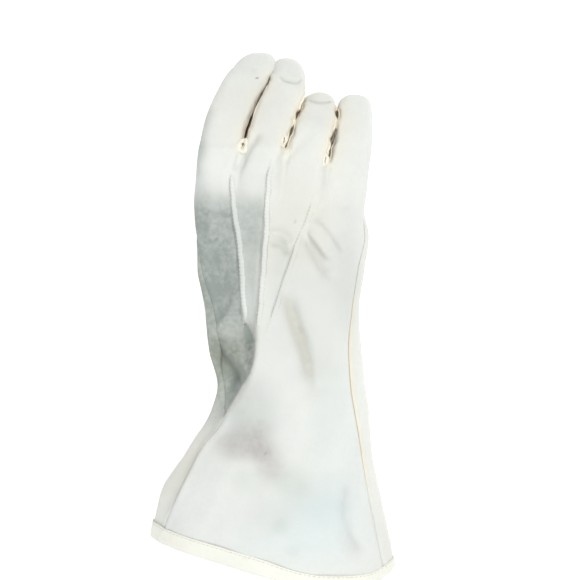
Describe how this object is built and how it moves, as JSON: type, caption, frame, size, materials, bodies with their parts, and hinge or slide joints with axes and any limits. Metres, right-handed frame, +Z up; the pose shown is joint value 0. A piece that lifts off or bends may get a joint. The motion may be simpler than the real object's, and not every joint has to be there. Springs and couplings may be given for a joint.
{
  "type": "dress glove",
  "caption": "White right-hand gauntlet glove with raised tucks on the back, strips between the fingers and a cream hem, lying palm down with the thumb folded under.",
  "frame": {"origin": "on the surface the glove rests on, below the middle of its bounding box", "axes": "+Y towards the fingertips, +Z up out of the back of the hand, +X towards the little finger's side"},
  "size_m": [0.1248, 0.267, 0.0403],
  "materials": {
    "white_cloth": "fine matt white cloth with faint grey and blue soiling",
    "palm_cloth": "the same cloth, greyer with wear",
    "cream_cloth": "cream cloth, a little yellowed"
  },
  "bodies": {
    "root": {"back_panel": "white_cloth", "palm_panel": "palm_cloth", "thumb": "palm_cloth", "forchette_index_middle": "cream_cloth", "forchette_middle_ring": "cream_cloth", "forchette_ring_little": "cream_cloth", "hem_binding": "cream_cloth"}
  },
  "joints": []
}
